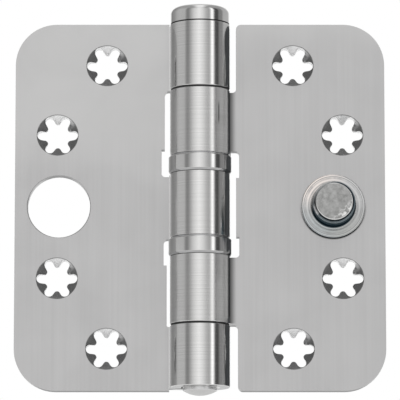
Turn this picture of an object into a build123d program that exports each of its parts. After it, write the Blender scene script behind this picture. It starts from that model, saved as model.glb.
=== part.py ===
from build123d import *
import os
from math import acos, asin, cos, degrees, radians, sin

# Washered butt hinge, lying open and flat, in millimetres.
# The origin is on the pin axis at half the height of the leaves.
# +Z runs up the pin, +X towards the leaf with the security stud,
# and the countersunk front faces look towards -Y.

# Leaves: flat sheet with rolled knuckles
leaf_height = 89.0
open_width = 89.0
sheet = 3.0
leaf_corner = 10.0
inner_corner = 1.2
notch_corner = 0.9
set_back = 2.1
bend_inner = 3.0
seam_gap = 0.25
knuckle_edge = 0.15

# Pin and its running fit
pin_radius = 4.1
running_gap = 0.08
head_radius = 7.05
head_height = 4.1
head_edge = 1.6
tip_straight = 0.7
tip_dome = 1.2
bore_mouth = 0.55

# Stack along the pin: the outer knuckles fill what the others leave of the height
top_margin = 0.55
bottom_margin = 0.55
middle_knuckle_top = 7.55
middle_knuckle = 15.55
upper_stud_knuckle = 15.8
lower_stud_knuckle = 16.35
washer_thickness = 0.4
bearing_height = 4.4
washer_recess = 0.2

# Cut-outs beside the knuckles of the other leaf, from the pin axis
stud_leaf_top_notch = 8.7
stud_leaf_middle_notch = 8.7
stud_leaf_bottom_notch = 9.1
hole_leaf_upper_notch = 8.5
hole_leaf_lower_notch = 8.0
ring_step = 0.75
hole_leaf_ring_margin = 1.9
stud_leaf_ring_margin = 0.6
stud_leaf_relief = 1.5
hole_leaf_relief = 0.4
root_gap = 0.2

# Thrust ball bearings
shroud_radius = 7.55
shroud_wall = 0.5
shroud_edge = 0.3
shroud_gap = 0.25
race_play = 0.1
ball_radius = 1.0
ball_play = 0.06
ball_count = 8
race_face_gap = 1.6
cage_thickness = 0.8
cage_margin = 0.1
cage_hole_play = 0.08

# Star-shaped countersunk screw holes: distances from the side edge and from the near end
star_edges = [(22.1, 10.1), (10.2, 27.1)]
star_reach = 4.9
star_slot_width = 2.15
star_root_fillet = 0.7
star_throat = 2.9
countersink_radius = 5.0

# Security stud and the hole that takes it, both placed from the side edge of their leaf
stud_edge_distance = 12.5
hole_edge_distance = 10.6
stud_hole_radius = 7.5
stud_hole_edge = 0.2
shank_radius = 4.0
rivet_depth = 1.0
flange_radius = 7.65
flange_height = 1.2
flange_edge = 0.25
stud_cove = 0.65
stud_radius = 5.1
stud_height = 8.4
stud_taper_height = 1.9
stud_taper = 0.6
stud_edge = 0.4

bore_radius = pin_radius + running_gap
knuckle_radius = bore_radius + sheet
tab_root = knuckle_radius + root_gap
leaf_front = set_back
leaf_back = set_back + sheet
half_height = leaf_height / 2
half_width = open_width / 2
stack_top = half_height - top_margin
stack_bottom = bottom_margin - half_height
stud_offset = half_width - stud_edge_distance
stud_hole_offset = half_width - hole_edge_distance


def knuckle_spans():
    """Top and bottom of the five knuckles, from the top down."""
    middle_bottom = middle_knuckle_top - middle_knuckle
    upper_bottom = middle_knuckle_top + bearing_height
    upper_top = upper_bottom + upper_stud_knuckle
    lower_top = middle_bottom - bearing_height
    lower_bottom = lower_top - lower_stud_knuckle
    return [
        (stack_top, upper_top + washer_thickness),
        (upper_top, upper_bottom),
        (middle_knuckle_top, middle_bottom),
        (lower_top, lower_bottom),
        (lower_bottom - washer_thickness, stack_bottom),
    ]


knuckles = knuckle_spans()
spaces = [(above[1], below[0]) for above, below in zip(knuckles, knuckles[1:])]
washer_spaces = [spaces[0], spaces[3]]
bearing_spaces = [spaces[1], spaces[2]]


def polar(radius, angle):
    """The point at this radius and angle, in degrees, around the pin axis."""
    return (radius * cos(radians(angle)), radius * sin(radians(angle)))


# The sheet leaves the roll at the back and bends once more, into the plane of the leaf.
roll_middle = bore_radius + sheet / 2
bend_middle = bend_inner + sheet / 2
roll_offset = roll_middle - (leaf_front + sheet / 2)
bend_angle = degrees(acos(1 - roll_offset / (roll_middle + bend_middle)))
bend_centre = polar(roll_middle + bend_middle, 90 - bend_angle)
roll_start = 90 - bend_angle


def free_end_angle():
    """Where the rolled end stops, just short of the front face of the leaf."""
    return degrees(asin((leaf_front - seam_gap) / knuckle_radius))


def roll_section():
    """The rolled part of the sheet, seen along the pin, for a leaf on the +X side."""
    end = free_end_angle()
    sweep = 360 + end - roll_start
    inner = CenterArc((0, 0), bore_radius, roll_start, sweep)
    outer = CenterArc((0, 0), knuckle_radius, roll_start, sweep)
    first = Line(polar(bore_radius, roll_start), polar(knuckle_radius, roll_start))
    last = Line(polar(bore_radius, end), polar(knuckle_radius, end))
    return make_face([inner, last, outer, first])


def bend_section():
    """The reverse bend from the roll into the flat leaf, as far as the tab's root."""
    inner = polar(bore_radius, roll_start)
    outer = polar(knuckle_radius, roll_start)
    back_bend = CenterArc(bend_centre, bend_inner, 270 - bend_angle, bend_angle)
    front_bend = CenterArc(bend_centre, bend_inner + sheet, 270 - bend_angle, bend_angle)
    back = Line((bend_centre[0], leaf_back), (tab_root, leaf_back))
    root = Line((tab_root, leaf_back), (tab_root, leaf_front))
    front = Line((tab_root, leaf_front), (bend_centre[0], leaf_front))
    start = Line(inner, outer)
    return make_face([start, back_bend, back, root, front, front_bend])


def prism(section, top, bottom):
    """This section along the pin, between two heights."""
    return extrude(Pos(0, 0, bottom) * section, top - bottom, dir=(0, 0, 1))


def knuckle(top, bottom):
    """One knuckle: the roll with its broken edges, and the bend that ties it to the leaf."""
    blank = Pos(0, 0, (top + bottom) / 2) * Cylinder(knuckle_radius, top - bottom)
    blank = chamfer(blank.edges().filter_by(GeomType.CIRCLE), knuckle_edge)
    roll = prism(roll_section(), top, bottom) & blank
    return roll + prism(bend_section(), top, bottom)


def short_corner(notch):
    """The corner radius that fits on the short tab beside this notch."""
    return min(notch_corner, 0.8 * (notch - tab_root))


def plate(corners):
    """The flat of a leaf from its outline: x, z and corner radius of each corner."""
    outline = Polygon(*[(x, z) for x, z, _ in corners], align=None)
    for x, z, radius in corners:
        if radius:
            corner = outline.vertices().sort_by_distance((x, z, 0))[0]
            outline = fillet(corner, radius)
    upright = Plane(origin=(0, leaf_back, 0), x_dir=(1, 0, 0), z_dir=(0, -1, 0))
    return extrude(upright * outline, sheet, dir=(0, -1, 0))


def stud_leaf_outline():
    """Corners of the leaf that carries knuckles 2 and 4."""
    upper, lower = knuckles[1], knuckles[3]
    ring_above, ring_below = bearing_spaces
    wide = stud_leaf_middle_notch + ring_step
    return [
        (stud_leaf_top_notch, half_height, inner_corner),
        (half_width, half_height, leaf_corner),
        (half_width, -half_height, leaf_corner),
        (stud_leaf_bottom_notch, -half_height, inner_corner),
        (stud_leaf_bottom_notch, lower[1], notch_corner),
        (tab_root, lower[1], 0),
        (tab_root, lower[0], 0),
        (wide, lower[0], notch_corner),
        (wide, ring_below[0] + stud_leaf_ring_margin, 0),
        (stud_leaf_middle_notch, ring_below[0] + stud_leaf_ring_margin, 0),
        (stud_leaf_middle_notch, ring_above[1] - stud_leaf_ring_margin, 0),
        (wide, ring_above[1] - stud_leaf_ring_margin, 0),
        (wide, upper[1] + stud_leaf_relief, notch_corner),
        (tab_root, upper[1] + stud_leaf_relief, 0),
        (tab_root, upper[0], 0),
        (stud_leaf_top_notch, upper[0], notch_corner),
    ]


def hole_leaf_outline():
    """Corners of the leaf that carries knuckles 1, 3 and 5."""
    upper, middle, lower = knuckles[0], knuckles[2], knuckles[4]
    ring_above, ring_below = bearing_spaces
    upper_wide = hole_leaf_upper_notch + ring_step
    lower_wide = hole_leaf_lower_notch + ring_step
    return [
        (-tab_root, half_height, 0),
        (-tab_root, upper[1], 0),
        (-hole_leaf_upper_notch, upper[1], notch_corner),
        (-hole_leaf_upper_notch, ring_above[0] + hole_leaf_ring_margin, 0),
        (-upper_wide, ring_above[0] + hole_leaf_ring_margin, 0),
        (-upper_wide, middle[0] - hole_leaf_relief, notch_corner),
        (-tab_root, middle[0] - hole_leaf_relief, 0),
        (-tab_root, middle[1], 0),
        (-lower_wide, middle[1], notch_corner),
        (-lower_wide, ring_below[1] - hole_leaf_ring_margin, 0),
        (-hole_leaf_lower_notch, ring_below[1] - hole_leaf_ring_margin, 0),
        (-hole_leaf_lower_notch, lower[0], short_corner(hole_leaf_lower_notch)),
        (-tab_root, lower[0], 0),
        (-tab_root, -half_height, 0),
        (-half_width, -half_height, leaf_corner),
        (-half_width, half_height, leaf_corner),
    ]


def facing_front(x, z, depth=0.0):
    """A frame on the front face of a leaf at x, z, with its own z running out to the front."""
    return Plane(origin=(x, leaf_front + depth, z), x_dir=(1, 0, 0), z_dir=(0, -1, 0))


def star_cutter(x, z):
    """One star hole: three crossed slots with rounded inner corners, and a conical mouth."""
    star = Sketch()
    for angle in (0, 60, 120):
        star += Rot(0, 0, angle) * SlotOverall(2 * star_reach, star_slot_width)
    crossings = star.vertices().filter_by(lambda v: Vector(v).length < star_throat)
    star = fillet(crossings, star_root_fillet)
    slots = extrude(facing_front(x, z) * star, 2 * sheet, both=True)
    depth = countersink_radius - star_throat
    cone = Cone(star_throat, countersink_radius, depth, align=(Align.CENTER, Align.CENTER, Align.MAX))
    return slots + facing_front(x, z) * cone


def screw_holes(side):
    """The four star holes of the leaf on this side."""
    cutters = []
    for from_side, from_end in star_edges:
        across = half_width - from_side
        up = half_height - from_end
        cutters.append(star_cutter(side * across, up))
        cutters.append(star_cutter(side * across, -up))
    return cutters


def make_stud_leaf():
    """The leaf with knuckles 2 and 4, and the riveted hole for the stud."""
    body = plate(stud_leaf_outline())
    for place in (1, 3):
        body += knuckle(*knuckles[place])
    for cutter in screw_holes(1):
        body -= cutter
    body -= stud_shank()
    return body


def make_hole_leaf():
    """The leaf with knuckles 1, 3 and 5, and the plain hole that the stud enters."""
    body = plate(hole_leaf_outline())
    for place in (0, 2, 4):
        body += mirror(knuckle(*knuckles[place]), about=Plane.YZ)
    for cutter in screw_holes(-1):
        body -= cutter
    front = facing_front(-stud_hole_offset, 0)
    body -= front * Cylinder(stud_hole_radius, 3 * sheet)
    body -= front * Cone(
        stud_hole_radius,
        stud_hole_radius + stud_hole_edge,
        stud_hole_edge,
        align=(Align.CENTER, Align.CENTER, Align.MAX),
    )
    bottom = knuckles[4][1]
    mouth = Cone(
        bore_radius + bore_mouth,
        bore_radius,
        bore_mouth,
        align=(Align.CENTER, Align.CENTER, Align.MIN),
    )
    return body - Pos(0, 0, bottom) * mouth


def stud_shank():
    """The part of the stud inside the sheet, spread at the back like a countersunk rivet."""
    spread = shank_radius + rivet_depth
    profile = Polygon(
        (0, 0),
        (shank_radius, 0),
        (shank_radius, -(sheet - rivet_depth)),
        (spread, -sheet),
        (0, -sheet),
        align=None,
    )
    turned = revolve(Plane.XZ * profile, Axis.Z)
    return facing_front(stud_offset, 0) * turned


def make_stud():
    """The turned stud: flange, cove, plain body, taper and rounded top edge."""
    taper_start = stud_height - stud_taper_height
    top_radius = stud_radius - stud_taper
    cove_top = flange_height + stud_cove
    cove_foot = stud_radius + stud_cove
    lines = [
        Line((0, 0), (flange_radius, 0)),
        Line((flange_radius, 0), (flange_radius, flange_height - flange_edge)),
        Line(
            (flange_radius, flange_height - flange_edge),
            (flange_radius - flange_edge, flange_height),
        ),
        Line((flange_radius - flange_edge, flange_height), (cove_foot, flange_height)),
        CenterArc((cove_foot, cove_top), stud_cove, 180, 90),
        Line((stud_radius, cove_top), (stud_radius, taper_start)),
        Line((stud_radius, taper_start), (top_radius, stud_height)),
        Line((top_radius, stud_height), (0, stud_height)),
        Line((0, stud_height), (0, 0)),
    ]
    turned = revolve(Plane.XZ * make_face(lines), Axis.Z)
    top_edge = turned.edges().filter_by(GeomType.CIRCLE).sort_by(Axis.Z)[-1]
    turned = fillet(top_edge, stud_edge)
    return facing_front(stud_offset, 0) * turned + stud_shank()


def make_pin():
    """The pin: button head with a broad round edge, plain shank and domed tip."""
    shank_end = knuckles[4][1] - tip_straight
    dome_radius = (pin_radius**2 + tip_dome**2) / (2 * tip_dome)
    dome_spread = degrees(acos(1 - tip_dome / dome_radius))
    head_top = stack_top + head_height
    lines = [
        CenterArc((0, shank_end - tip_dome + dome_radius), dome_radius, -90, dome_spread),
        Line((pin_radius, shank_end), (pin_radius, stack_top)),
        Line((pin_radius, stack_top), (head_radius - knuckle_edge, stack_top)),
        Line(
            (head_radius - knuckle_edge, stack_top),
            (head_radius, stack_top + knuckle_edge),
        ),
        Line((head_radius, stack_top + knuckle_edge), (head_radius, head_top - head_edge)),
        CenterArc((head_radius - head_edge, head_top - head_edge), head_edge, 0, 90),
        Line((head_radius - head_edge, head_top), (0, head_top)),
        Line((0, head_top), (0, shank_end - tip_dome)),
    ]
    return revolve(Plane.XZ * make_face(lines), Axis.Z)


def ring(inner, outer, top, bottom):
    """A plain ring around the pin."""
    middle = Pos(0, 0, (top + bottom) / 2)
    return middle * (Cylinder(outer, top - bottom) - Cylinder(inner, 2 * (top - bottom)))


def make_washer(space):
    """A thin washer that fills one of the narrow gaps between knuckles."""
    return ring(bore_radius, knuckle_radius - washer_recess, *space)


shroud_bore = shroud_radius - shroud_wall
upper_race_radius = shroud_bore - race_play
pitch_radius = (bore_radius + upper_race_radius) / 2
race_thickness = (bearing_height - race_face_gap) / 2


def ball_groove(middle):
    """The round channel that both races leave for the balls."""
    return Pos(0, 0, middle) * Torus(pitch_radius, ball_radius + ball_play)


def make_upper_race(space):
    """The race that turns with the knuckle above, clear of the shroud."""
    top, bottom = space
    race = ring(bore_radius, upper_race_radius, top, top - race_thickness)
    return race - ball_groove((top + bottom) / 2)


def make_lower_race(space):
    """The race that stands on the knuckle below and carries the shroud."""
    top, bottom = space
    race = ring(bore_radius, shroud_bore, bottom + race_thickness, bottom)
    return race - ball_groove((top + bottom) / 2)


def make_shroud(space):
    """The ring that hides the balls, with both outer edges broken."""
    top, bottom = space
    height = top - shroud_gap - bottom
    blank = chamfer(Cylinder(shroud_radius, height).edges().filter_by(GeomType.CIRCLE), shroud_edge)
    shroud = blank - Cylinder(shroud_bore, 2 * height)
    return Pos(0, 0, bottom + height / 2) * shroud


def make_balls(space):
    """The set of balls of one bearing, as separate solids."""
    middle = Pos(0, 0, (space[0] + space[1]) / 2)
    places = PolarLocations(pitch_radius, ball_count)
    return Part() + [middle * place * Sphere(ball_radius) for place in places]


def make_cage(space):
    """The flat ring that keeps the balls apart."""
    middle = (space[0] + space[1]) / 2
    inner = bore_radius + cage_margin
    outer = upper_race_radius - cage_margin
    cage = ring(inner, outer, middle + cage_thickness / 2, middle - cage_thickness / 2)
    for place in PolarLocations(pitch_radius, ball_count):
        cage -= Pos(0, 0, middle) * place * Cylinder(ball_radius + cage_hole_play, 2 * cage_thickness)
    return cage


def make_all():
    """Every piece of the hinge, by name."""
    pieces = {
        "hole_leaf": make_hole_leaf(),
        "stud_leaf": make_stud_leaf(),
        "hinge_pin": make_pin(),
        "security_stud": make_stud(),
        "upper_washer": make_washer(washer_spaces[0]),
        "lower_washer": make_washer(washer_spaces[1]),
    }
    for name, space in zip(("upper_bearing", "lower_bearing"), bearing_spaces):
        pieces[name + "_top_race"] = make_upper_race(space)
        pieces[name + "_bottom_race"] = make_lower_race(space)
        pieces[name + "_shroud"] = make_shroud(space)
        pieces[name + "_balls"] = make_balls(space)
        pieces[name + "_cage"] = make_cage(space)
    return pieces


os.makedirs("parts", exist_ok=True)
for node, shape in make_all().items():
    export_step(shape, "parts/" + node + ".step")
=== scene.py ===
from math import asin, cos, degrees, pi, radians, sin
from types import SimpleNamespace

import bmesh
import bpy
from mathutils import Matrix, Vector


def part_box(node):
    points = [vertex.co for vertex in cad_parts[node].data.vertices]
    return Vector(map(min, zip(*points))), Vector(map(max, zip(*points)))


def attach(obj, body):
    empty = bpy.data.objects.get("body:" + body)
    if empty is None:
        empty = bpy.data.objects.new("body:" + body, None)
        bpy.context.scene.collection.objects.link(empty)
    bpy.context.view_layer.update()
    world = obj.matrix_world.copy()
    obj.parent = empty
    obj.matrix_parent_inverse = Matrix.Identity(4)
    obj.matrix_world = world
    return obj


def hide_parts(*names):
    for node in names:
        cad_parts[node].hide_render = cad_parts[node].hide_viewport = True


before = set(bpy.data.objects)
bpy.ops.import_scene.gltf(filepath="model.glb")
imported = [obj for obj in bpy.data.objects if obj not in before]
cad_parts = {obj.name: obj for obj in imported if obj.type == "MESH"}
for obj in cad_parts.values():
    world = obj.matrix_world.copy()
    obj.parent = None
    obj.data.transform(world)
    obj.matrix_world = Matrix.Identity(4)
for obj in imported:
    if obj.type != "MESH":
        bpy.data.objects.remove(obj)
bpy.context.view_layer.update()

MM = 0.001


def corners_of(node):
    """A node's lowest and highest corner in millimetres, to the hundredth."""
    return [[round(part / MM, 2) for part in corner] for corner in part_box(node)]


def grey(level):
    """A colour with no hue."""
    return (level, level, level)


# Sizes in millimetres: outer sizes as the frame has them, details as the source of the solids has them
knuckle_radius = corners_of("hole_leaf")[1][0]
pin_low, pin_high = corners_of("hinge_pin")
stud_low, stud_high = corners_of("security_stud")

sheet = 3.0
leaf_front = stud_high[1] - sheet
leaf_edge = 0.12

pin_radius = 4.1
head_radius = pin_high[0]
head_foot = 43.95
head_top = pin_high[2]
head_edge = 1.6
broken_edge = 0.15
tip_dome = 1.2
tip_land = 0.05
shank_end = pin_low[2] + tip_dome

shroud_bore = 7.05
shroud_edge = 0.3
shroud_lip = 0.5
shroud_round = 0.05

stud_place = 32.0
stud_height = leaf_front - stud_low[1]
stud_radius = 5.1
stud_shank = 4.0
stud_rivet = 1.0
stud_cove = 0.65
stud_edge = 0.4
taper = 0.6
taper_height = 1.9
taper_blend = 0.2
taper_blend_depth = 0.04
top_edge_out = 0.06
flange_radius = stud_high[0] - stud_place
flange_height = 1.2
flange_edge = 0.25

# Star-shaped screw holes: slot length, countersink and the places (across, up) of one quarter.
# Their masks reach a little past the slots, and the thin line of painted shade round each sink lies about
# the countersink's radius
star_reach = 4.9
star_mask = star_reach + 0.02
sink_radius = 5.0
outline_inner = sink_radius - 0.15
outline_outer = sink_radius + 0.05
star_places = [(22.4, 34.4), (34.3, 17.4)]

# Knuckles of the stud leaf: middle and half length, above and below the middle of the hinge
bend_row = 20.2
bend_row_half = 8.1

# How much higher the barrel shows the flats to a camera that looks up from below
seen_higher = 1.6

# Half the height over which the sheet turns lighter towards its top, as painted light
tone_change = 6

# The painted dark streak on the upper knuckle of the stud leaf, a dark line of its reflection: its place
# across and up, and how dark it is
mark_place = 4.5
mark_height = 21.6
mark_darkness = 0.75

# The radius of the fine line round the flange, and where the stud's taper glints, in degrees from +X up
rim_line = 7.1
glint_angle = 203.0

# Spans in millimetres over which the leaves' masks go from 0 to 1. By the distance from the pin
rolled_end = (knuckle_radius + 0.03, knuckle_radius + 0.09)
flat_start = (knuckle_radius + 0.07, knuckle_radius + 0.72)
bend_shadow = (8.9, 7.3)
bend_in_barrel = (13.2, 10.5)
out_of_barrel = (20.0, 24.0)

# By the depth from the front face, the distance from a knuckle's middle, and the place round the stud
front_face = (leaf_front + 0.5, leaf_front + 0.1)
inside_row = (bend_row_half + 0.2, bend_row_half - 0.2)
outside_row = (bend_row_half - 0.2, bend_row_half + 0.2)
near_flange = (flange_radius + 0.45, flange_radius + 0.1)
lower_half = (1.0, -6.0)

# By the distance from the painted dark streak's middle, across and along, and where the dull patch starts
# and ends
mark_width = (0.22, 0.05)
mark_length = (3.0, 1.5)
dull_start = (3.3, 4.1)
dull_end = (6.7, 6.4)

# The pin's spans by height: the painted shade in the gap under its head, and the straight part of its tip
gap_shade_top = (head_foot + 0.3, head_foot + 0.15)
gap_shade_foot = (head_foot - 0.1, head_foot - 0.02)
tip_top = (-head_foot - 0.1, -head_foot - 0.2)
tip_foot = (shank_end - 0.1, shank_end + 0.05)
matt_tip = (-head_foot, shank_end + 0.3)

# The stud's spans across its face, and by the distance from its rim line
upper_left = (2, 10)
lower_side = (-1, -7)
lower_left = (-4, -10)
lit_part = (3.2, 6.2)
highlight_part = (3.2, 5.6)
rim_line_width = (0.12, 0.04)

# The stud's spans by height over the leaf
whole_stud = (0.0, stud_height)
shading_start = (-0.6, -0.3)
flange_side = (flange_height - 0.2, flange_height - 0.3)
over_flange = (flange_height + 0.03, flange_height + 0.15)
glint_start = (6.6, 6.9)
glint_end = (8.1, 7.8)
top_face = (stud_height - 0.03, stud_height - 0.005)

# Spans of the masks by where a surface looks, from -1 to 1: down, sideways, aslant and to the light
looks_down = (-0.8, -0.95)
looks_sideways = (0.3, 0.1)
looks_aslant = (0.95, 0.85)
looks_to_light = (0.44, 0.66)
chamfer_looks = (-0.25, -0.4)
toward_glint = (0.95, 0.99)

# Spans of the noises that are used
streaks_of_noise = (0.3, 0.7)
patches_of_noise = (0.35, 0.65)
grooves_of_noise = (0.36, 0.62)
highlight_of_noise = (0.48, 0.56)

# The grain's scale along the pin for 1 across it, and its streaks' fineness for 1 of its scratches
grain_stretch = 0.012
streak_fineness = 0.18

# How fine the effects are: grain, patches and speckle by their scale, rings and lines per metre
sheet_grain = 9000.0
sheet_patches = 70.0
turned_patches = 160.0
broken_rings = 420.0
small_patches = 400.0
top_speckle = 900.0
knuckle_lines = 3200.0
shroud_rings = 5000.0
race_rings = 5000.0
pin_rings = 4000.0
stud_rings = 2600.0
stud_grooves = 2300.0

# How rough the steel is, how matt where it is coined or smudged, and what handled patches change
sheet_roughness = (0.33, 0.38)
rolled_spread = 0.04
coined_smoother = 0.25
coined_matt = 0.7
smudged_matt = (0.32, 0.5)
tip_roughness = 0.35
patch_darker = 0.95
patch_rougher = 1.3
plain_spread = 0.1

# Steps of a full turn, and the angles in degrees from which an edge of a solid is sharp
turning_steps = 128
sharp_angle = 40
leaf_sharp_angle = 32
ring_sharp_angle = 30

# Distances in millimetres within which points are one, and the angle up to which faces are one flat
merged_turning = 0.0005
merged_solid = 0.002
one_flat = 0.4

# Tones of the leaves: brushed sheet with its painted lighter top, rolled knuckles and cut edges
white = grey(1.0)
black = grey(0.0)
deep_shade = grey(0.02)
sheet_dark = (0.492, 0.489, 0.489)
sheet_light = (0.518, 0.515, 0.515)
sheet_painted_top_light = (0.552, 0.549, 0.547)
knuckle_dark = (0.63, 0.627, 0.622)
knuckle_light = (0.697, 0.693, 0.686)
cut_edge = grey(0.5)
knuckle_end_tint = grey(0.68)
sheet_edge_tint = grey(0.52)

# Tones of the countersinks: turned away from the light, turned to it, and the thin line of painted shade
# round their rim
dish_dark = grey(0.16)
dish_light = grey(0.93)
sink_rim_shade = grey(0.2)
outline_strength = 0.7

# Where the light of the countersinks comes from, across and up
light_x = -0.21
light_z = -0.98

# The screw holes' walls are painted white to the camera, as painted light, and painted dark in the
# steel's reflections
wall_painted_in_mirror = grey(0.2)

# Tones in which the barrel shows the flats beside it
flats_in_hole_barrel = grey(0.62)
flats_in_stud_barrel = (0.08, 0.085, 0.09)
bends_in_barrel = (0.035, 0.037, 0.04)

# Tones of the turned pieces
polished_steel = (0.66, 0.657, 0.652)
ground_steel = (0.52, 0.52, 0.53)
plated_steel = grey(0.58)
shroud_chamfer = grey(0.4)
pin_tip = grey(0.93)

# Tones of the stud: painted light on its sides (a warm highlight at the upper left, shade below, cool
# shade at the lower left), ring grooves, rim line, painted shade and highlights on cove, wall and taper,
# and its mottled top with painted highlights
stud_painted_highlight = (0.88, 0.80, 0.75)
stud_painted_low_shade = (0.50, 0.51, 0.49)
stud_painted_cool_shade = (0.50, 0.535, 0.545)
stud_groove = grey(0.34)
stud_rim_line = grey(0.30)
lit_side_tone = (0.42, 0.43, 0.43)
shading_tint = (0.25, 0.29, 0.32)
lit_side_tint = grey(0.8)
stud_glint = grey(0.95)
top_dark = (0.27, 0.27, 0.265)
top_light = (0.41, 0.41, 0.405)
top_painted_highlight = (0.85, 0.85, 0.84)

# Painted shade on the stud, dark and bluish, with painted highlights on the taper and rim, by height over
# the leaf: edge of the flange, cove, wall, taper, rim
painted_stud_shading = [
    (0.0, (0.03, 0.03, 0.035)),
    (1.0, (0.08, 0.08, 0.085)),
    (1.3, (0.03, 0.044, 0.054)),
    (1.9, (0.035, 0.055, 0.068)),
    (4.6, (0.13, 0.165, 0.185)),
    (6.2, (0.08, 0.10, 0.11)),
    (6.6, (0.36, 0.39, 0.40)),
    (7.3, (0.28, 0.31, 0.32)),
    (7.8, (0.02, 0.025, 0.03)),
    (8.24, (0.05, 0.055, 0.06)),
    (8.33, (0.75, 0.75, 0.74)),
]

# Tones of the small parts inside and between the knuckles
polished_ball = (0.72, 0.72, 0.73)
cage_cream = (0.78, 0.74, 0.64)
washer_black = (0.012, 0.012, 0.012)

# Tool marks: how strongly they show, and how deep they are in metres
mark_strength = 0.25
mark_depth = 0.00002

# The share of them that the rolled knuckles keep, and the stud's grooves at their darkest and faintest
rolled_marks = 0.25
groove_darkness = 0.9
groove_faintest = 0.35

# Camera of the photo: its view's width at the hinge, distance, aim and range are in metres, its rise
# is in degrees and its sensor in millimetres
photo_width = 95.9 * MM
camera_distance = 0.9
camera_rise = -8.8
aim_height = 1.25 * MM
sensor_width = 36.0
nearest_seen = 0.1
farthest_seen = 60.0

# Levels round the horizon as polished steel shows them, in degrees from the camera towards +X
studio_walls = [
    (-180, 1.00),
    (-160, 1.00),
    (-152, 0.30),
    (-140, 0.32),
    (-120, 0.40),
    (-102, 0.58),
    (-88, 0.64),
    (-62, 0.62),
    (-54, 0.31),
    (-46, 0.29),
    (-38, 0.50),
    (-24, 0.88),
    (-4, 1.20),
    (10, 1.00),
    (24, 0.66),
    (36, 0.50),
    (42, 0.80),
    (45, 1.55),
    (52, 1.55),
    (56, 0.70),
    (61, 0.10),
    (74, 0.08),
    (81, 0.29),
    (96, 0.31),
    (106, 0.60),
    (150, 0.60),
    (157, 1.00),
    (180, 1.00),
]

# Levels over the top, in degrees from the camera's side upwards, for what looks steeply up or down
studio_arch = [
    (-180, 1.00),
    (-100, 1.05),
    (-75, 1.05),
    (-55, 0.72),
    (-30, 0.85),
    (30, 1.05),
    (60, 1.05),
    (70, 1.40),
    (84, 1.40),
    (92, 0.95),
    (100, 0.84),
    (180, 0.84),
]

# Where the arch takes over from the walls, by how steeply and how far aside a direction points
arch_steep = (0.5, 0.78)
arch_beside_from = (0.3, 0.5)
arch_beside = (0.1, 0.32)

# Tone of the studio beside the arch, and strengths of its soft light and of the white behind the hinge
beside_arch = grey(0.46)
soft_light = 0.8
backdrop = 1.0

# The floor: half its width and how far below the hinge it lies, in metres, and its paint
floor_half = 12.0
floor_depth = 2.6
floor_paint = grey(0.9)
floor_roughness = 0.9


# Shaping


def line_to(bm, vert, radius, height):
    """A straight stretch of a turning outline, from this vertex to a radius and height."""
    end = bmesh.ops.extrude_vert_indiv(bm, verts=[vert])["verts"][0]
    end.co = (radius, 0, height)
    return end


def arc_about(bm, vert, centre, turn, steps):
    """An arc of a turning outline about a centre (radius, height), in degrees."""
    middle = (centre[0], 0, centre[1])
    swept = bmesh.ops.spin(
        bm, geom=[vert], cent=middle, axis=(0, 1, 0), angle=radians(turn), steps=steps
    )
    return [item for item in swept["geom_last"] if isinstance(item, bmesh.types.BMVert)][0]


def turn_outline(bm):
    """The outline drawn so far, spun once around the axis into a closed skin."""
    wire = list(bm.verts) + list(bm.edges)
    bmesh.ops.spin(
        bm,
        geom=wire,
        cent=(0, 0, 0),
        axis=(0, 0, 1),
        angle=2 * pi,
        steps=turning_steps,
        use_merge=True,
    )
    bmesh.ops.remove_doubles(bm, verts=bm.verts, dist=merged_turning)
    bmesh.ops.recalc_face_normals(bm, faces=bm.faces)


def soften(bm, edges, width):
    """These edges rounded, over a width in millimetres."""
    bmesh.ops.bevel(
        bm,
        geom=edges,
        offset=width,
        offset_type="OFFSET",
        affect="EDGES",
        segments=2,
        profile=0.5,
        material=-1,
        clamp_overlap=True,
    )


def finished(bm, name, material, body, slot, *nodes):
    """The finished piece: in metres, smooth where it is round, on its body and in its nodes' place."""
    bmesh.ops.scale(bm, vec=(MM, MM, MM), verts=bm.verts)
    for face in bm.faces:
        face.smooth = True
    for edge in bm.edges:
        if len(edge.link_faces) == 2:
            edge.smooth = edge.calc_face_angle() < radians(sharp_angle)
    mesh = bpy.data.meshes.new(name)
    bm.to_mesh(mesh)
    bm.free()
    piece = bpy.data.objects.new(name, mesh)
    bpy.context.scene.collection.objects.link(piece)
    mesh.materials.append(material)
    even = piece.modifiers.new("even_shading", "WEIGHTED_NORMAL")
    even.mode = "FACE_AREA"
    even.weight = 50
    even.keep_sharp = True
    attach(piece, body)
    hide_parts(*nodes)
    return piece


def softened_leaf(node, name, body, material):
    """A leaf from its solid: triangles joined, flats cleared, every sharp edge broken."""
    bm = bmesh.new()
    bm.from_mesh(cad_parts[node].data)
    bmesh.ops.scale(bm, vec=(1 / MM, 1 / MM, 1 / MM), verts=bm.verts)
    bmesh.ops.remove_doubles(bm, verts=bm.verts, dist=merged_solid)
    bmesh.ops.dissolve_limit(
        bm, angle_limit=radians(one_flat), verts=bm.verts, edges=bm.edges, use_dissolve_boundaries=False
    )
    crisp = [
        edge
        for edge in bm.edges
        if len(edge.link_faces) == 2 and edge.calc_face_angle() > radians(leaf_sharp_angle)
    ]
    soften(bm, crisp, leaf_edge)
    return finished(bm, name, material, body, "leaf_steel", node)


def turned_pin(material):
    """The pin: domed tip, plain shank, and the button head with its broad round edge."""
    bm = bmesh.new()
    dome = (pin_radius**2 + tip_dome**2) / (2 * tip_dome)
    spread = degrees(asin(pin_radius / dome))
    tip = bm.verts.new((0, 0, shank_end - tip_dome))
    vert = arc_about(bm, tip, (0, shank_end - tip_dome + dome), -spread, steps=10)
    vert = line_to(bm, vert, pin_radius, shank_end + tip_land)
    vert = line_to(bm, vert, pin_radius, head_foot)
    vert = line_to(bm, vert, head_radius - broken_edge, head_foot)
    vert = line_to(bm, vert, head_radius, head_foot + broken_edge)
    vert = line_to(bm, vert, head_radius, head_top - head_edge)
    vert = arc_about(bm, vert, (head_radius - head_edge, head_top - head_edge), -90, steps=16)
    line_to(bm, vert, 0, head_top)
    turn_outline(bm)
    return finished(bm, "turned_pin", material, "fixed_leaf", "pin_steel", "hinge_pin")


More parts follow.
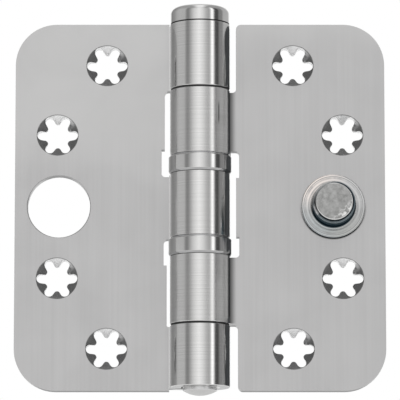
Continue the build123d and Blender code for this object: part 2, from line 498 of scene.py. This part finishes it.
def turned_shroud(bearing, body, material):
    """The ring around one bearing: chamfered at its foot, its edges rounded."""
    node = bearing + "_shroud"
    low, high = corners_of(node)
    radius, bottom, top = high[0], low[2], high[2]
    bm = bmesh.new()
    first = bm.verts.new((shroud_bore, 0, bottom))
    vert = line_to(bm, first, radius - shroud_edge, bottom)
    vert = line_to(bm, vert, radius, bottom + shroud_lip)
    vert = line_to(bm, vert, radius, top - shroud_edge)
    vert = line_to(bm, vert, radius - shroud_edge, top)
    vert = line_to(bm, vert, shroud_bore, top)
    line_to(bm, vert, shroud_bore, bottom)
    turn_outline(bm)
    crisp = [edge for edge in bm.edges if edge.calc_face_angle(0) > radians(ring_sharp_angle)]
    soften(bm, crisp, shroud_round)
    return finished(bm, node + "_ring", material, body, "shroud_steel", node)


def turned_stud(material):
    """The stud: flange, cove, plain body, taper and rounded top, riveted through the sheet."""
    bm = bmesh.new()
    vert = bm.verts.new((0, 0, -sheet))
    vert = line_to(bm, vert, stud_shank + stud_rivet, -sheet)
    vert = line_to(bm, vert, stud_shank, stud_rivet - sheet)
    vert = line_to(bm, vert, stud_shank, 0)

    vert = line_to(bm, vert, flange_radius, 0)
    vert = line_to(bm, vert, flange_radius, flange_height - flange_edge)
    vert = arc_about(
        bm, vert, (flange_radius - flange_edge, flange_height - flange_edge), -90, steps=5
    )
    cove_foot = stud_radius + stud_cove
    vert = line_to(bm, vert, cove_foot, flange_height)
    vert = arc_about(bm, vert, (cove_foot, flange_height + stud_cove), 90, steps=8)

    taper_start = stud_height - taper_height
    vert = line_to(bm, vert, stud_radius, taper_start - taper_blend)
    vert = line_to(bm, vert, stud_radius - taper_blend_depth, taper_start + taper_blend)
    lean = degrees(asin(taper / taper_height))
    centre = (stud_radius - taper - stud_edge + top_edge_out, stud_height - stud_edge)
    reach = (
        centre[0] + stud_edge * cos(radians(lean)),
        centre[1] + stud_edge * sin(radians(lean)),
    )
    vert = line_to(bm, vert, *reach)
    vert = arc_about(bm, vert, centre, lean - 90, steps=6)
    line_to(bm, vert, 0, stud_height)
    turn_outline(bm)

    bmesh.ops.rotate(bm, cent=(0, 0, 0), matrix=Matrix.Rotation(radians(90), 3, "X"), verts=bm.verts)
    bmesh.ops.translate(bm, vec=(stud_place, leaf_front, 0), verts=bm.verts)
    return finished(bm, "turned_stud", material, "swinging_leaf", "stud_steel", "security_stud")


# Nodes of the finishes. A value or mask is a number, or a pair of a node and one of its outputs


def place(tree, kind, values=None, **settings):
    """One shader node, with its settings and the values of its inputs."""
    made = tree.nodes.new(kind)
    for key, value in settings.items():
        setattr(made, key, value)
    for key, value in (values or {}).items():
        made.inputs[key].default_value = value
    return made


def link(tree, pair, target, entry):
    """A link from a pair of node and output to an input."""
    tree.links.new(pair[0].outputs[pair[1]], target.inputs[entry])


def maths(tree, operation, first, second=None):
    """A Math node on one or two values."""
    made = place(tree, "ShaderNodeMath", operation=operation)
    for number, value in enumerate((first, second)):
        if isinstance(value, tuple):
            link(tree, value, made, number)
        elif value is not None:
            made.inputs[number].default_value = value
    return (made, 0)


def times(tree, first, *others):
    """The product of two or more values."""
    for other in others:
        first = maths(tree, "MULTIPLY", first, other)
    return first


def larger(tree, first, second):
    """The larger of two masks: the places that either of them marks."""
    return maths(tree, "MAXIMUM", first, second)


def inverse(tree, mask):
    """The places that a mask leaves out."""
    return maths(tree, "SUBTRACT", 1.0, mask)


def without_sign(tree, value):
    """A value without its sign."""
    return maths(tree, "ABSOLUTE", value)


def off_from(tree, value, middle):
    """How far a coordinate is from a place in millimetres, to either side."""
    return without_sign(tree, maths(tree, "SUBTRACT", value, middle * MM))


def distance(tree, first, second):
    """The distance from an axis, by the two coordinates across it."""
    squares = maths(tree, "ADD", times(tree, first, first), times(tree, second, second))
    return maths(tree, "SQRT", squares)


def between(tree, value, low, high, start=0.0, end=1.0):
    """A value spread from one range onto another, held at both ends."""
    spread = place(
        tree,
        "ShaderNodeMapRange",
        {"From Min": low, "From Max": high, "To Min": start, "To Max": end},
    )
    link(tree, value, spread, "Value")
    return (spread, 0)


def fade(tree, coordinate, span):
    """A mask that goes from 0 to 1 between two places in millimetres."""
    return between(tree, coordinate, span[0] * MM, span[1] * MM)


def colour_mix(tree, mask, first, second):
    """Two colours, each fixed or a pair of node and output, mixed by a mask."""
    made = place(tree, "ShaderNodeMix", data_type="RGBA")
    link(tree, mask, made, 0)
    entries = [number for number, socket in enumerate(made.inputs) if socket.type == "RGBA"]
    for entry, value in zip(entries, (first, second)):
        if len(value) == 3:
            made.inputs[entry].default_value = (*value, 1.0)
        else:
            link(tree, value, made, entry)
    mixed = [number for number, socket in enumerate(made.outputs) if socket.type == "RGBA"][0]
    return (made, mixed)


def colour_ramp(tree, value, stops):
    """Colours by a value from 0 to 1: each stop is a place and a colour."""
    ramp = place(tree, "ShaderNodeValToRGB")
    link(tree, value, ramp, 0)
    kept = ramp.color_ramp.elements
    while len(kept) > 1:
        kept.remove(kept[-1])
    for number, (position, colour) in enumerate(stops):
        stop = kept[0] if number == 0 else kept.new(position)
        stop.position = position
        stop.color = (*colour, 1.0)
    return (ramp, 0)


# Effects that several finishes share


def group_start(name, inputs, outputs):
    """A new shader node group with its named sockets."""
    tree = bpy.data.node_groups.new(name, "ShaderNodeTree")
    for label, kind, value in inputs:
        socket = tree.interface.new_socket(label, in_out="INPUT", socket_type=kind)
        if value is not None:
            socket.default_value = value
    for label in outputs:
        tree.interface.new_socket(label, in_out="OUTPUT", socket_type="NodeSocketFloat")
    return tree, tree.nodes.new("NodeGroupInput"), tree.nodes.new("NodeGroupOutput")


def make_brushed_grain():
    """Fine parallel scratches along Z, with slow changes in how deep they are."""
    tree, entry, leaving = group_start(
        "brushed_grain",
        [("Place", "NodeSocketVector", None), ("Fineness", "NodeSocketFloat", 5000.0)],
        ["Height", "Streaks"],
    )
    squeezed = place(tree, "ShaderNodeMapping", {"Scale": (1.0, 1.0, grain_stretch)})
    link(tree, (entry, "Place"), squeezed, "Vector")
    fine = place(tree, "ShaderNodeTexNoise", {"Detail": 2.0, "Roughness": 0.6})
    link(tree, (squeezed, 0), fine, "Vector")
    link(tree, (entry, "Fineness"), fine, "Scale")
    wide = place(tree, "ShaderNodeTexNoise", {"Detail": 3.0, "Roughness": 0.55})
    link(tree, (squeezed, 0), wide, "Vector")
    link(tree, times(tree, (entry, "Fineness"), streak_fineness), wide, "Scale")
    link(tree, (fine, 0), leaving, "Height")
    link(tree, (wide, 0), leaving, "Streaks")
    return tree


def make_turned_rings():
    """Fine rings left by a turning tool, from the distance to the piece's axis."""
    tree, entry, leaving = group_start(
        "turned_rings",
        [("Distance", "NodeSocketFloat", 0.0), ("Rings per metre", "NodeSocketFloat", 6000.0)],
        ["Height"],
    )
    noise = place(
        tree, "ShaderNodeTexNoise", {"Scale": 1.0, "Detail": 2.0, "Roughness": 0.6}, noise_dimensions="1D"
    )
    link(tree, times(tree, (entry, "Distance"), (entry, "Rings per metre")), noise, "W")
    link(tree, (noise, 0), leaving, "Height")
    return tree


def make_handling():
    """Soft patches where the surface has been handled: a mask from 0 to 1."""
    tree, entry, leaving = group_start(
        "handling_patches",
        [("Place", "NodeSocketVector", None), ("Fineness", "NodeSocketFloat", 90.0)],
        ["Mask"],
    )
    noise = place(tree, "ShaderNodeTexNoise", {"Detail": 3.0, "Roughness": 0.5, "Distortion": 0.4})
    link(tree, (entry, "Place"), noise, "Vector")
    link(tree, (entry, "Fineness"), noise, "Scale")
    link(tree, between(tree, (noise, 0), *patches_of_noise), leaving, "Mask")
    return tree


brushed_grain = make_brushed_grain()
turned_rings = make_turned_rings()
handling_patches = make_handling()


def start_finish(name):
    """A new material: its nodes, its shader, and the place of each point on the piece."""
    material = bpy.data.materials.new(name)
    material.use_nodes = True
    tree = material.node_tree
    tree.nodes.clear()
    shader = place(tree, "ShaderNodeBsdfPrincipled")
    end = place(tree, "ShaderNodeOutputMaterial")
    link(tree, (shader, 0), end, 0)
    where = (place(tree, "ShaderNodeTexCoord"), "Object")
    apart = place(tree, "ShaderNodeSeparateXYZ")
    link(tree, where, apart, 0)
    return SimpleNamespace(
        material=material,
        tree=tree,
        shader=shader,
        end=end,
        where=where,
        x=(apart, "X"),
        y=(apart, "Y"),
        z=(apart, "Z"),
    )


def face_direction(tree):
    """Which way the surface faces, as three values."""
    geometry = place(tree, "ShaderNodeNewGeometry")
    facing = place(tree, "ShaderNodeSeparateXYZ")
    link(tree, (geometry, "Normal"), facing, 0)
    return (facing, "X"), (facing, "Y"), (facing, "Z")


def patches_of(finish, fineness):
    """The mask of handled patches in one finish."""
    made = place(finish.tree, "ShaderNodeGroup", node_tree=handling_patches)
    made.inputs["Fineness"].default_value = fineness
    link(finish.tree, finish.where, made, "Place")
    return (made, "Mask")


def rings_of(finish, coordinate, per_metre):
    """The height of fine rings or lines in one finish, along a coordinate."""
    made = place(finish.tree, "ShaderNodeGroup", node_tree=turned_rings)
    made.inputs["Rings per metre"].default_value = per_metre
    link(finish.tree, coordinate, made, "Distance")
    return (made, "Height")


def grain_of(finish, fineness):
    """The height and the streaks of brushed steel in one finish."""
    made = place(finish.tree, "ShaderNodeGroup", node_tree=brushed_grain)
    made.inputs["Fineness"].default_value = fineness
    link(finish.tree, finish.where, made, "Place")
    return (made, "Height"), (made, "Streaks")


def tool_marks(finish, height):
    """Tool marks that catch the light, from their height."""
    bump = place(
        finish.tree, "ShaderNodeBump", {"Strength": mark_strength, "Distance": mark_depth}
    )
    link(finish.tree, height, bump, "Height")
    link(finish.tree, (bump, 0), finish.shader, "Normal")


# The leaves' finish


def start_leaf_finish(name):
    """A leaf's finish, with masks of its flats and its front, and its grain and patches."""
    leaf = start_finish(name)
    tree = leaf.tree
    leaf.from_pin = distance(tree, leaf.x, leaf.y)
    leaf.flat = fade(tree, leaf.from_pin, flat_start)
    leaf.front = fade(tree, leaf.y, front_face)
    leaf.facing_x, leaf.facing_y, leaf.facing_z = face_direction(tree)
    leaf.in_mirror = (place(tree, "ShaderNodeLightPath"), "Is Glossy Ray")
    leaf.grain, leaf.streaks = grain_of(leaf, sheet_grain)
    leaf.patches = patches_of(leaf, sheet_patches)
    return leaf


def sheet_tone(leaf, painted_light_above):
    """The brushed sheet, in light and dark streaks, and painted lighter above a height in millimetres."""
    tree = leaf.tree
    streaks = between(tree, leaf.streaks, *streaks_of_noise)
    tone = colour_mix(tree, streaks, sheet_dark, sheet_light)
    # Painted light: the sheet lighter towards its top
    painted_top_light = fade(tree, leaf.z, (painted_light_above - tone_change, painted_light_above + tone_change))
    return colour_mix(tree, painted_top_light, tone, sheet_painted_top_light)


def knuckle_tone(leaf):
    """The rolled knuckles, with fine lines round them."""
    lines = between(leaf.tree, rings_of(leaf, leaf.z, knuckle_lines), *streaks_of_noise)
    return colour_mix(leaf.tree, lines, knuckle_dark, knuckle_light)


def inside_circle(tree, across, up, centre, radius):
    """A mask of the places closer to a centre (x, z) than a radius, in millimetres."""
    one = maths(tree, "SUBTRACT", across, centre[0] * MM)
    two = maths(tree, "SUBTRACT", up, centre[1] * MM)
    squares = maths(tree, "ADD", times(tree, one, one), times(tree, two, two))
    return maths(tree, "LESS_THAN", squares, (radius * MM) ** 2)


def round_star_holes(leaf, radius):
    """A mask of the places within a radius of any screw hole's middle."""
    across = without_sign(leaf.tree, leaf.x)
    level = without_sign(leaf.tree, leaf.z)
    found = [inside_circle(leaf.tree, across, level, centre, radius) for centre in star_places]
    return larger(leaf.tree, *found)


def star_hole_masks(leaf):
    """The screw holes' upright walls, their dished sides, and the thin line of painted shade round each
    sink's rim.
    """
    tree = leaf.tree
    holes = round_star_holes(leaf, star_mask)
    to_front = without_sign(tree, leaf.facing_y)
    walls = times(tree, holes, between(tree, to_front, *looks_sideways))
    dished = times(tree, holes, between(tree, to_front, *looks_aslant))
    outer = round_star_holes(leaf, outline_outer)
    inner = round_star_holes(leaf, outline_inner)
    outline = times(tree, maths(tree, "SUBTRACT", outer, inner), leaf.front, outline_strength)
    return walls, dished, outline


def dished_tone(leaf):
    """The dished sides' tone, light where they face down and a little to the left."""
    tree = leaf.tree
    toward_light = maths(
        tree, "ADD", times(tree, leaf.facing_x, light_x), times(tree, leaf.facing_z, light_z)
    )
    return colour_mix(tree, between(tree, toward_light, *looks_to_light), dish_dark, dish_light)


def beside_knuckles(leaf):
    """A mask of all that lies outside the rolled knuckles."""
    return fade(leaf.tree, leaf.from_pin, rolled_end)


def bend_shade(leaf):
    """The shade on the sheet where the stud leaf's knuckles leave it."""
    tree = leaf.tree
    from_row = off_from(tree, without_sign(tree, leaf.z), bend_row)
    near = fade(tree, leaf.from_pin, bend_shadow)
    return times(tree, beside_knuckles(leaf), near, fade(tree, from_row, inside_row), leaf.front)


def stud_shade(leaf):
    """The shade on the sheet round the lower half of the stud's flange."""
    tree = leaf.tree
    across = maths(tree, "SUBTRACT", leaf.x, stud_place * MM)
    from_stud = distance(tree, across, leaf.z)
    contact = fade(tree, from_stud, near_flange)
    return times(tree, contact, fade(tree, leaf.z, lower_half), leaf.front)


def painted_dark_streak(leaf):
    """One short upright painted dark streak on the front of the upper knuckle, a dark line of its
    reflection.
    """
    tree = leaf.tree
    across = fade(tree, off_from(tree, leaf.x, mark_place), mark_width)
    along = fade(tree, off_from(tree, leaf.z, mark_height), mark_length)
    return times(tree, across, along, maths(tree, "LESS_THAN", leaf.y, 0.0), mark_darkness)


def bends_in_mirror(leaf, barrel_sees):
    """What the barrel of the stud leaf shows: a mask of the darker flats, and their tone.

    Level with the hole leaf's knuckles those are all the flats near the barrel. Level with
    its own knuckles it is the bend alone, which makes the dark line along their right side.
    """
    tree = leaf.tree
    level = without_sign(tree, maths(tree, "SUBTRACT", leaf.z, seen_higher * MM))
    off_row = fade(tree, off_from(tree, level, bend_row), outside_row)
    close = fade(tree, leaf.from_pin, bend_in_barrel)
    in_bend = times(tree, close, inverse(tree, off_row))
    tone = colour_mix(tree, in_bend, barrel_sees, bends_in_barrel)
    far = fade(tree, leaf.from_pin, out_of_barrel)
    return larger(tree, off_row, close), colour_mix(tree, far, tone, white)


def smudges(leaf):
    """The dull right side of the stud leaf's knuckles."""
    tree = leaf.tree
    rolled = inverse(tree, beside_knuckles(leaf))
    patchy = between(tree, leaf.patches, 0.0, 1.0, *smudged_matt)
    return times(tree, rolled, fade(tree, leaf.x, dull_start), fade(tree, leaf.x, dull_end), patchy)


def leaf_roughness(leaf, rolled_roughness, dished):
    """Brushed flats, smoother knuckles, and countersinks a little smoother than the flats."""
    tree = leaf.tree
    rough = between(tree, leaf.patches, 0.0, 1.0, *sheet_roughness)
    smooth = between(tree, leaf.patches, 0.0, 1.0, rolled_roughness, rolled_roughness + rolled_spread)
    difference = maths(tree, "SUBTRACT", rough, smooth)
    level = maths(tree, "ADD", smooth, times(tree, difference, leaf.flat))
    return times(tree, level, inverse(tree, times(tree, dished, coined_smoother)))


def leaf_steel(name, rolled_roughness, painted_light_above, barrel_sees, with_bends):
    """Stainless sheet, brushed along the pin; the rolled knuckles are smoother and brighter.

    The barrel sees the flats beside it in another tone than the camera does. The stud leaf
    also has the painted shade of its bends and its stud, a painted dark streak of reflection on its upper
    knuckle, and its smudges.
    """
    leaf = start_leaf_finish(name)
    tree, shader = leaf.tree, leaf.shader
    walls, dished, outline = star_hole_masks(leaf)
    cut = between(tree, leaf.facing_z, *looks_down)
    mirrored = times(tree, leaf.flat, leaf.in_mirror)
    dull = times(tree, dished, coined_matt)
    tone = colour_mix(tree, leaf.flat, knuckle_tone(leaf), sheet_tone(leaf, painted_light_above))
    tone = colour_mix(tree, cut, tone, cut_edge)
    cut_tint = colour_mix(tree, leaf.flat, knuckle_end_tint, sheet_edge_tint)
    tint = colour_mix(tree, cut, white, cut_tint)
    if with_bends:
        # Painted shade at the bends and round the stud, and a painted dark streak of reflection on the
        # upper knuckle
        shade = larger(tree, larger(tree, bend_shade(leaf), stud_shade(leaf)), painted_dark_streak(leaf))
        tone = colour_mix(tree, shade, tone, deep_shade)
        tint = colour_mix(tree, shade, tint, black)
        darker, barrel_sees = bends_in_mirror(leaf, barrel_sees)
        mirrored = times(tree, mirrored, darker)
        dull = larger(tree, dull, smudges(leaf))
    tone = colour_mix(tree, mirrored, tone, barrel_sees)
    tone = colour_mix(tree, dished, tone, dished_tone(leaf))
    # Painted shade: a thin dark line round each countersink's rim
    tone = colour_mix(tree, outline, tone, sink_rim_shade)
    # Painted light: the screw holes' walls white to the camera, with a painted dark reflection of them in
    # the steel
    painted_wall_light = colour_mix(tree, leaf.in_mirror, white, wall_painted_in_mirror)
    tone = colour_mix(tree, walls, tone, painted_wall_light)
    tint = colour_mix(tree, walls, tint, white)

    link(tree, tone, shader, "Base Color")
    link(tree, tint, shader, "Specular Tint")
    link(tree, leaf_roughness(leaf, rolled_roughness, dished), shader, "Roughness")
    link(tree, inverse(tree, dull), shader, "Metallic")
    depth = maths(tree, "ADD", times(tree, leaf.flat, 1.0 - rolled_marks), rolled_marks)
    tool_marks(leaf, times(tree, leaf.grain, depth))
    return leaf.material


# The turned pieces' finishes


def turned_steel(name, colour, roughness, rings, on_stud=False):
    """Turned steel, with rings around the pin's axis, or around the stud's."""
    finish = start_finish(name)
    tree, shader = finish.tree, finish.shader
    shader.inputs["Metallic"].default_value = 1.0
    patches = patches_of(finish, turned_patches)
    finish.tone = colour_mix(tree, patches, colour, tuple(patch_darker * part for part in colour))
    link(tree, finish.tone, shader, "Base Color")
    finish.roughness = between(tree, patches, 0.0, 1.0, roughness, roughness * patch_rougher)
    link(tree, finish.roughness, shader, "Roughness")
    if on_stud:
        finish.across = maths(tree, "SUBTRACT", finish.x, stud_place * MM)
        finish.from_axis = distance(tree, finish.across, finish.z)
        along = maths(tree, "SUBTRACT", finish.from_axis, finish.y)
    else:
        finish.from_axis = distance(tree, finish.x, finish.y)
        along = maths(tree, "ADD", finish.from_axis, finish.z)
    tool_marks(finish, rings_of(finish, along, rings))
    return finish


def shroud_material():
    """Turned ring with a darker chamfer at its foot."""
    finish = turned_steel("turned_shroud", polished_steel, roughness=0.1, rings=shroud_rings)
    facing_z = face_direction(finish.tree)[2]
    foot = between(finish.tree, facing_z, *chamfer_looks)
    tone = colour_mix(finish.tree, foot, finish.tone, shroud_chamfer)
    link(finish.tree, tone, finish.shader, "Base Color")
    return finish.material


def pin_material():
    """Polished pin, with painted shade in the gap between its head and the top knuckle, and a matt tip.
    """
    finish = turned_steel("polished_pin", polished_steel, roughness=0.09, rings=pin_rings)
    tree, shader = finish.tree, finish.shader
    # Painted shade: the pin dark in the gap under its head
    gap_shade = times(tree, fade(tree, finish.z, gap_shade_top), fade(tree, finish.z, gap_shade_foot))
    straight_tip = times(tree, fade(tree, finish.z, tip_top), fade(tree, finish.z, tip_foot))
    tone = colour_mix(tree, gap_shade, finish.tone, deep_shade)
    tone = colour_mix(tree, straight_tip, tone, pin_tip)
    link(tree, tone, shader, "Base Color")
    link(tree, colour_mix(tree, gap_shade, white, black), shader, "Specular Tint")
    matt = times(tree, fade(tree, finish.z, matt_tip), tip_roughness)
    link(tree, maths(tree, "ADD", finish.roughness, matt), shader, "Roughness")
    return finish.material


def stud_rings_tone(finish):
    """The stud's turned steel with ring grooves, and painted light: a warm highlight at the upper left,
    shade below, cool shade at the lower left.
    """
    tree = finish.tree
    rising = maths(tree, "SUBTRACT", finish.z, finish.across)
    falling = maths(tree, "ADD", finish.z, finish.across)
    # Painted light on the stud's sides: warm highlight at the upper left, shade below, cool shade at the
    # lower left
    tone = colour_mix(tree, fade(tree, rising, upper_left), finish.tone, stud_painted_highlight)
    tone = colour_mix(tree, fade(tree, finish.z, lower_side), tone, stud_painted_low_shade)
    tone = colour_mix(tree, fade(tree, falling, lower_left), tone, stud_painted_cool_shade)
    grooves = rings_of(finish, finish.from_axis, stud_grooves)
    grooves = between(tree, grooves, *grooves_of_noise, 0.0, groove_darkness)
    broken = between(tree, patches_of(finish, broken_rings), 0.0, 1.0, groove_faintest, 1.0)
    tone = colour_mix(tree, times(tree, grooves, broken), tone, stud_groove)
    line = fade(tree, off_from(tree, finish.from_axis, rim_line), rim_line_width)
    return colour_mix(tree, line, tone, stud_rim_line)


def stud_shading_masks(finish):
    """Where the painted shade lies, which side of it is painted lit, and where the taper has a painted
    glint.
    """
    tree, height = finish.tree, finish.height
    on_wall = larger(tree, fade(tree, height, over_flange), fade(tree, height, flange_side))
    shaded_part = times(tree, on_wall, fade(tree, height, shading_start))
    lit_side = fade(tree, maths(tree, "SUBTRACT", finish.z, finish.across), lit_part)
    along = maths(
        tree,
        "ADD",
        times(tree, finish.across, cos(radians(glint_angle))),
        times(tree, finish.z, sin(radians(glint_angle))),
    )
    narrow = between(tree, maths(tree, "DIVIDE", along, finish.from_axis), *toward_glint)
    glint = times(tree, narrow, fade(tree, height, glint_start), fade(tree, height, glint_end))
    return shaded_part, lit_side, glint


def stud_top_tone(finish):
    """The stud's mottled grey top, with spots of painted highlight at its lower right."""
    tree = finish.tree
    speckle = place(
        tree, "ShaderNodeTexNoise", {"Scale": top_speckle, "Detail": 3.0, "Roughness": 0.65}
    )
    link(tree, finish.where, speckle, "Vector")
    grains = between(tree, (speckle, 0), *patches_of_noise)
    mottled = colour_mix(tree, grains, top_dark, top_light)
    # Painted highlight: bright spots on the top at its lower right
    highlight_side = fade(tree, maths(tree, "SUBTRACT", finish.across, finish.z), highlight_part)
    top_highlight = times(tree, highlight_side, between(tree, (speckle, 0), *highlight_of_noise))
    return colour_mix(tree, top_highlight, mottled, top_painted_highlight)


def stud_material():
    """Zinc plated stud: ringed flange, painted light and shade on its sides, dark bluish painted shade on
    cove and wall with painted highlights on taper and rim, mottled grey top with painted highlights.
    """
    finish = turned_steel("plated_stud", plated_steel, roughness=0.26, rings=stud_rings, on_stud=True)
    tree, shader = finish.tree, finish.shader
    finish.height = maths(tree, "SUBTRACT", leaf_front * MM, finish.y)

    # Painted shade and highlights by height over the leaf, lighter where painted lit, with a painted
    # glint on the taper
    stops = [(level / stud_height, colour) for level, colour in painted_stud_shading]
    stud_shading = colour_ramp(tree, fade(tree, finish.height, whole_stud), stops)
    shaded_part, lit_side, glint = stud_shading_masks(finish)
    stud_shading_tone = colour_mix(tree, lit_side, stud_shading, lit_side_tone)
    stud_shading_tone = colour_mix(tree, glint, stud_shading_tone, stud_glint)
    tone = colour_mix(tree, shaded_part, stud_rings_tone(finish), stud_shading_tone)
    tone = colour_mix(tree, fade(tree, finish.height, top_face), tone, stud_top_tone(finish))
    link(tree, tone, shader, "Base Color")

    tint = colour_mix(tree, lit_side, shading_tint, lit_side_tint)
    tint = colour_mix(tree, glint, tint, white)
    link(tree, colour_mix(tree, shaded_part, white, tint), shader, "Specular Tint")
    return finish.material


def plain_material(name, colour, roughness, metallic=0.0):
    """A plain finish, with slight handling marks in its roughness."""
    finish = start_finish(name)
    finish.shader.inputs["Base Color"].default_value = (*colour, 1.0)
    finish.shader.inputs["Metallic"].default_value = metallic
    patches = patches_of(finish, small_patches)
    rough = between(finish.tree, patches, 0.0, 1.0, roughness, roughness + plain_spread)
    link(finish.tree, rough, finish.shader, "Roughness")
    return finish.material


# The pieces with their finishes


def dress(node, material):
    """A solid whose shape is right, shown as it is with its finish."""
    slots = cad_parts[node].material_slots
    if slots:
        for slot in slots:
            slot.material = material
    else:
        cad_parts[node].data.materials.append(material)


hole_leaf_steel = leaf_steel(
    "brushed_sheet",
    rolled_roughness=0.12,
    painted_light_above=13.0,
    barrel_sees=flats_in_hole_barrel,
    with_bends=False,
)
stud_leaf_steel = leaf_steel(
    "brushed_sheet_of_stud_leaf",
    rolled_roughness=0.21,
    painted_light_above=40.0,
    barrel_sees=flats_in_stud_barrel,
    with_bends=True,
)
shroud_steel = shroud_material()
race_steel = turned_steel("ground_race", ground_steel, roughness=0.25, rings=race_rings).material
ball_steel = plain_material("polished_ball", polished_ball, roughness=0.06, metallic=1.0)
cage_polymer = plain_material("cage_polymer", cage_cream, roughness=0.5)
washer_polymer = plain_material("black_washer", washer_black, roughness=0.55)

softened_leaf("hole_leaf", "leaf_with_hole", "fixed_leaf", hole_leaf_steel)
softened_leaf("stud_leaf", "leaf_with_stud", "swinging_leaf", stud_leaf_steel)
turned_pin(pin_material())
turned_shroud("upper_bearing", "fixed_leaf", shroud_steel)
turned_shroud("lower_bearing", "swinging_leaf", shroud_steel)
turned_stud(stud_material())

for washer in ("upper_washer", "lower_washer"):
    dress(washer, washer_polymer)
for bearing in ("upper_bearing", "lower_bearing"):
    dress(bearing + "_top_race", race_steel)
    dress(bearing + "_bottom_race", race_steel)
    dress(bearing + "_balls", ball_steel)
    dress(bearing + "_cage", cage_polymer)


# The studio


def studio_ramp(tree, away, toward, levels):
    """Levels of the studio by the angle from the camera's side, in degrees from -180 to 180."""
    angle = maths(tree, "ARCTAN2", away, toward)
    stops = [((degree + 180) / 360, grey(level)) for degree, level in levels]
    return colour_ramp(tree, between(tree, angle, -pi, pi), stops)


def studio_world():
    """A plain white studio: white behind the object, and softly lit walls for the steel."""
    world = bpy.data.worlds.new("studio")
    bpy.context.scene.world = world
    world.use_nodes = True
    tree = world.node_tree
    tree.nodes.clear()
    where = place(tree, "ShaderNodeTexCoord")
    apart = place(tree, "ShaderNodeSeparateXYZ")
    link(tree, (where, "Generated"), apart, 0)
    toward = times(tree, (apart, "Y"), -1.0)
    walls = studio_ramp(tree, (apart, "X"), toward, studio_walls)
    arch = studio_ramp(tree, (apart, "Z"), toward, studio_arch)
    upward = between(tree, (apart, "Z"), *arch_beside_from)
    sideways = between(tree, without_sign(tree, (apart, "X")), *arch_beside)
    arch = colour_mix(tree, times(tree, upward, sideways), arch, beside_arch)
    steep = between(tree, without_sign(tree, (apart, "Z")), *arch_steep)

    studio = place(tree, "ShaderNodeBackground", {"Strength": 1.0})
    link(tree, colour_mix(tree, steep, walls, arch), studio, "Color")
    soft = place(tree, "ShaderNodeBackground", {"Color": (*white, 1.0), "Strength": soft_light})
    behind = place(tree, "ShaderNodeBackground", {"Color": (*white, 1.0), "Strength": backdrop})
    path = place(tree, "ShaderNodeLightPath")
    lit = place(tree, "ShaderNodeMixShader")
    link(tree, (path, "Is Glossy Ray"), lit, 0)
    link(tree, (soft, 0), lit, 1)
    link(tree, (studio, 0), lit, 2)
    final = place(tree, "ShaderNodeMixShader")
    link(tree, larger(tree, (path, "Is Camera Ray"), (path, "Is Transmission Ray")), final, 0)
    link(tree, (lit, 0), final, 1)
    link(tree, (behind, 0), final, 2)
    end = place(tree, "ShaderNodeOutputWorld")
    link(tree, (final, 0), end, 0)


def studio_floor():
    """A pale floor far below, where a camera that looks up from under the hinge still clears it."""
    bm = bmesh.new()
    bmesh.ops.create_grid(bm, x_segments=1, y_segments=1, size=floor_half)
    bmesh.ops.translate(bm, vec=(0, 0, -floor_depth), verts=bm.verts)
    mesh = bpy.data.meshes.new("studio_floor")
    bm.to_mesh(mesh)
    bm.free()
    floor = bpy.data.objects.new("studio_floor", mesh)
    bpy.context.scene.collection.objects.link(floor)

    finish = start_finish("pale_floor")
    tree, shader = finish.tree, finish.shader
    shader.inputs["Base Color"].default_value = (*floor_paint, 1.0)
    shader.inputs["Roughness"].default_value = floor_roughness
    behind = place(tree, "ShaderNodeEmission", {"Color": (*white, 1.0), "Strength": backdrop})
    path = place(tree, "ShaderNodeLightPath")
    final = place(tree, "ShaderNodeMixShader")
    link(tree, larger(tree, (path, "Is Camera Ray"), (path, "Is Glossy Ray")), final, 0)
    link(tree, (shader, 0), final, 1)
    link(tree, (behind, 0), final, 2)
    link(tree, (final, 0), finish.end, 0)
    mesh.materials.append(finish.material)


def photo_camera():
    """The camera of the photo: straight ahead and a little below, with a long lens."""
    data = bpy.data.cameras.new("photo_camera")
    data.sensor_width = sensor_width
    data.lens = sensor_width * camera_distance / photo_width
    data.clip_start = nearest_seen
    data.clip_end = farthest_seen
    camera = bpy.data.objects.new("photo_camera", data)
    bpy.context.scene.collection.objects.link(camera)
    back = Vector((0, -cos(radians(camera_rise)), sin(radians(camera_rise))))
    camera.location = Vector((0, 0, aim_height)) + camera_distance * back
    camera.rotation_euler = (-back).to_track_quat("-Z", "Y").to_euler()
    bpy.context.scene.camera = camera


studio_world()
studio_floor()
photo_camera()
bpy.context.scene.view_settings.view_transform = "Standard"
